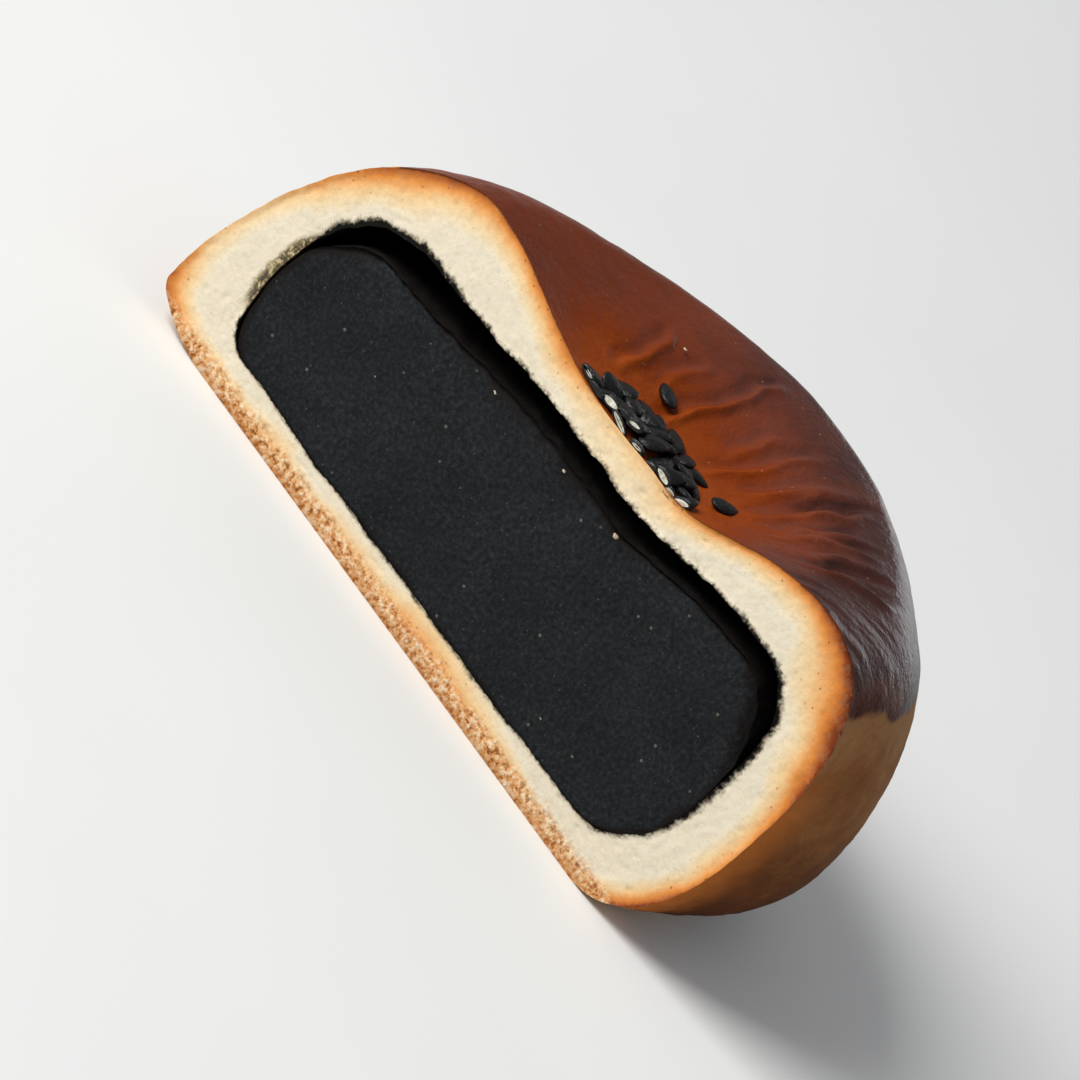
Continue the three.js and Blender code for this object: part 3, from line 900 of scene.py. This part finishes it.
def seed_points(centre, heading, lean, scale, index):
    """A flat drop: an ellipsoid whose width shrinks towards one end, a little dented,
    turned about x, then y, then z, and set at its centre."""
    across = np.linspace(0, 2 * np.pi, 19)[None, :]
    along = np.linspace(0, np.pi, 15)[:, None]
    length = np.cos(along) + 0 * across
    width = np.sin(along) * np.cos(across)
    thickness = np.sin(along) * np.sin(across)
    taper = 1 - SEED_TAPER * length - 0.10 * length ** 2
    shape = np.stack([
        0.5 * SEED_LENGTH * scale * length,
        0.5 * SEED_WIDTH * scale * width * taper,
        0.5 * SEED_THICKNESS * scale * thickness * (1 + 0.1 * length),
    ], axis=-1)
    shape = shape * (1 + 0.05 * noise(shape + 9.0 * index, 0.7, 51))[..., None]
    shape[:, -1] = shape[:, 0]
    roll, pitch = lean
    turn = Matrix.Rotation(heading, 3, "Z") @ Matrix.Rotation(pitch, 3, "Y") @ Matrix.Rotation(roll, 3, "X")
    return shape @ np.array(turn).T + centre


def crust_top_at(radius, angle, above):
    """A spot above the crust at a radius and angle inside the crest."""
    sizes = sizes_at(CRUST, np.array(angle))
    height = dimple_height(CRUST, sizes, radius) + above
    return place(np.array(radius), np.array(angle), height)


def patch_seeds():
    """Golden-angle steps at radii that grow as the square root of the number. In the
    heaped middle every second seed sits higher."""
    draw = seeded_random(20)
    seeds = []
    for number in range(PATCH_COUNT):
        radius = PATCH_SPACING * math.sqrt(number + 0.5)
        angle = (number * GOLDEN_ANGLE + math.pi) % (2 * math.pi) - math.pi
        raised = PATCH_HEAP * (1 - radius / PATCH_RADIUS) * (number % 2)
        heading = math.pi * next(draw)
        lean = (SEED_ROLL * (next(draw) - 0.5), SEED_PITCH * (next(draw) - 0.5))
        scale = 0.9 + 0.2 * next(draw)
        centre = crust_top_at(radius, angle, SEED_LIFT * SEED_THICKNESS + raised)
        if centre[1] > FRONT_LIMIT:
            seeds.append(seed_points(centre, heading, lean, scale, number))
    return seeds


def loose_seeds():
    """Single seeds, each lying flat at a radius, angle and heading in degrees."""
    return [
        seed_points(
            crust_top_at(radius, math.radians(angle), SEED_LIFT * SEED_THICKNESS),
            math.radians(heading), (0, 0), 1, PATCH_COUNT + index)
        for index, (radius, angle, heading) in enumerate(LOOSE_SEEDS)
    ]


seed_cloud, seed_quads = join_grids(patch_seeds() + loose_seeds())
sesame = make_mesh("sesame", (seed_cloud + OFFSET) / 1000, seed_quads, sharp=40)


def cut_seeds(piece):
    """Slices the seeds near the cut plane, one a little behind the other, and closes each
    slice with a kernel inside a thin black rim. Every fifth was only grazed, and has none."""
    plane = solid_low[1] / 1000
    shape = bmesh.new()
    shape.from_mesh(piece.data)
    everything = list(shape.verts) + list(shape.edges) + list(shape.faces)
    bmesh.ops.bisect_plane(
        shape, geom=everything, plane_co=(0, plane + 0.00004, 0), plane_no=(0, -1, 0), clear_outer=True)
    open_edges = [edge for edge in shape.edges if edge.is_boundary]
    slices = bmesh.ops.holes_fill(shape, edges=open_edges, sides=0)["faces"]
    for number, kernel in enumerate(slices):
        bmesh.ops.translate(shape, verts=kernel.verts, vec=(0, 0.00003 * (number % 7), 0))
        bmesh.ops.inset_individual(shape, faces=[kernel], thickness=0.00017 + 0.00004 * (number * 3 % 5))
        kernel.material_index = 1 if number % 5 else 0
    bmesh.ops.recalc_face_normals(shape, faces=shape.faces)
    shape.to_mesh(piece.data)
    shape.free()


cut_seeds(sesame)


def sesame_hull():
    """Dull black hull with a fine net of pits."""
    material, nodes, here = start_material("sesame hull")
    net = nodes.grain(here, 0.35, 2.0, 0.6)
    colour = nodes.ramp(net, [(0.35, (0.0022, 0.0024, 0.0024)), (0.65, (0.0095, 0.0100, 0.0098))])
    roughness = nodes.times(net, 0.25, 0.24)
    return finish_material(material, colour, roughness, nodes.bump(net, 0.12, 0.9), 0.28)


def sesame_kernel():
    """Pale greenish-white kernel, browner in places."""
    material, nodes, here = start_material("sesame kernel")
    tone = nodes.grain(here, 0.9, 3.0, 0.6)
    colour = nodes.ramp(tone, [
        (0.35, (0.28, 0.240, 0.170)),
        (0.50, (0.56, 0.535, 0.435)),
        (0.65, (0.78, 0.770, 0.690)),
    ])
    return finish_material(material, colour, 0.6, nodes.bump(tone, 0.10, 0.5), 0.3)


sesame.data.materials.append(sesame_hull())
sesame.data.materials.append(sesame_kernel())
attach(sesame, "root")

# ---- Crumbs ----
# A few crumbs of bread that the knife dragged on to the paste and stuck to its face,
# and one flake on the slope behind the dimple.

# Each crumb's x, z and size.
FACE_CRUMBS = (
    (9.2, 23.6, 0.28), (-8.6, 22.6, 0.20), (1.4, 23.4, 0.18), (16.5, 7.0, 0.18), (-18.0, 14.0, 0.15),
)
FLAKE_RADIUS, FLAKE_ANGLE, FLAKE_SIZE = 17.0, 118, 0.22


def crumb_points(centre, size, index, thick=0.7):
    """A flattened ball with lumps pushed out by noise, half sunk in what it lies on."""
    across = np.linspace(0, 2 * np.pi, 15)[None, :]
    along = np.linspace(0, np.pi, 11)[:, None]
    ball = np.stack([
        np.sin(along) * np.cos(across), np.sin(along) * np.sin(across), np.cos(along) + 0 * across], axis=-1)
    lumpy = ball * (1 + 0.45 * noise(ball + 7.0 * index, 0.7, 61))[..., None]
    lumpy[:, -1] = lumpy[:, 0]
    return size * lumpy * (1, 0.7, thick) + centre


crumb_grids = [
    crumb_points((x, PASTE_FACE + 0.3 * size, z), size, index)
    for index, (x, z, size) in enumerate(FACE_CRUMBS)
]
flake_spot = crust_top_at(FLAKE_RADIUS, math.radians(FLAKE_ANGLE), 0.1)
crumb_grids.append(crumb_points(flake_spot, FLAKE_SIZE, len(crumb_grids), 0.3))
crumb_cloud, crumb_quads = join_grids(crumb_grids)
crumbs = make_mesh("loose_crumbs", to_part(crumb_cloud), crumb_quads, sharp=60)


def stray_crumb():
    """The same cream crumb, on its own and a little toasted."""
    material, nodes, here = start_material("stray crumb")
    tone = nodes.grain(here, 0.4, 3.0, 0.6)
    colour = nodes.ramp(tone, [(0.3, (0.26, 0.18, 0.11)), (0.6, (0.52, 0.43, 0.32))])
    return finish_material(material, colour, 0.9, nodes.bump(tone, 0.15, 0.6), 0.25)


crumbs.data.materials.append(stray_crumb())
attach(crumbs, "root")

# ---- Table, light and camera ----
# A plain pale table, a large soft light from the left and front, a dimmer one behind
# that glances off the glaze, and the camera at the photograph's angle.

bpy.ops.mesh.primitive_plane_add(size=6, location=(0, 0, 0))
table = bpy.context.object
table.name = "table"


def pale_table():
    """Smooth off-white with hardly visible clouds."""
    material, nodes, here = start_material("pale table")
    tone = nodes.grain(here, 60.0, 2.0, 0.5)
    colour = nodes.ramp(tone, [(0.3, (0.87, 0.885, 0.88)), (0.7, (0.90, 0.915, 0.91))])
    return finish_material(material, colour, 0.85, nodes.bump(tone, 0.05, 0.1), 0.2)


table.data.materials.append(pale_table())

AZIMUTH, ELEVATION, ROLL = math.radians(20), math.radians(23.5), math.radians(-45.1)
CAMERA_DISTANCE = 0.7
backwards = Vector((
    math.cos(ELEVATION) * math.sin(AZIMUTH), -math.cos(ELEVATION) * math.cos(AZIMUTH), math.sin(ELEVATION)))
level_right = Vector((0, 0, 1)).cross(backwards).normalized()
level_up = backwards.cross(level_right)
image_right = math.cos(ROLL) * level_right - math.sin(ROLL) * level_up
image_up = math.sin(ROLL) * level_right + math.cos(ROLL) * level_up
FRONT_MIDDLE = Vector((2.755 + OFFSET[0], OFFSET[1], 14.274)) / 1000
AIM_RIGHT, AIM_UP = 0.0031, 0.0008
target = FRONT_MIDDLE + image_right * AIM_RIGHT + image_up * AIM_UP


def look_from(position, aim, right=None):
    """Turns an object's -Z towards a point, with its X along right."""
    back = (position - aim).normalized()
    side = (right or Vector((0, 0, 1)).cross(back)).normalized()
    up = back.cross(side)
    turned = Matrix((side, up, back)).transposed().to_4x4()
    return Matrix.Translation(position) @ turned


camera = bpy.data.objects.new("camera", bpy.data.cameras.new("camera"))
bpy.context.collection.objects.link(camera)
camera.data.lens = 260
camera.data.sensor_width = 36
camera.data.clip_start = 0.01
camera.matrix_world = look_from(target + backwards * CAMERA_DISTANCE, target, image_right)
bpy.context.scene.camera = camera


def soft_light(name, towards, distance, size, power, colour):
    """A square light that faces the bun from a direction."""
    lamp = bpy.data.objects.new(name, bpy.data.lights.new(name, "AREA"))
    bpy.context.collection.objects.link(lamp)
    lamp.data.size = size
    lamp.data.energy = power
    lamp.data.color = colour
    lamp.matrix_world = look_from(target + towards.normalized() * distance, target)
    return lamp


soft_light("window", Vector((-0.75, -0.62, 0.75)), 0.9, 0.55, 9.6, (1.0, 0.985, 0.96))
soft_light("behind", Vector((-0.05, 0.97, 0.13)), 0.9, 0.35, 0.7, (0.95, 0.97, 1.0))
world = bpy.data.worlds.new("room")
world.use_nodes = True
sky = world.node_tree.nodes["Background"].inputs
sky["Color"].default_value = (0.96, 0.97, 1.0, 1)
sky["Strength"].default_value = 0.30
bpy.context.scene.world = world
bpy.context.scene.view_settings.view_transform = "Standard"
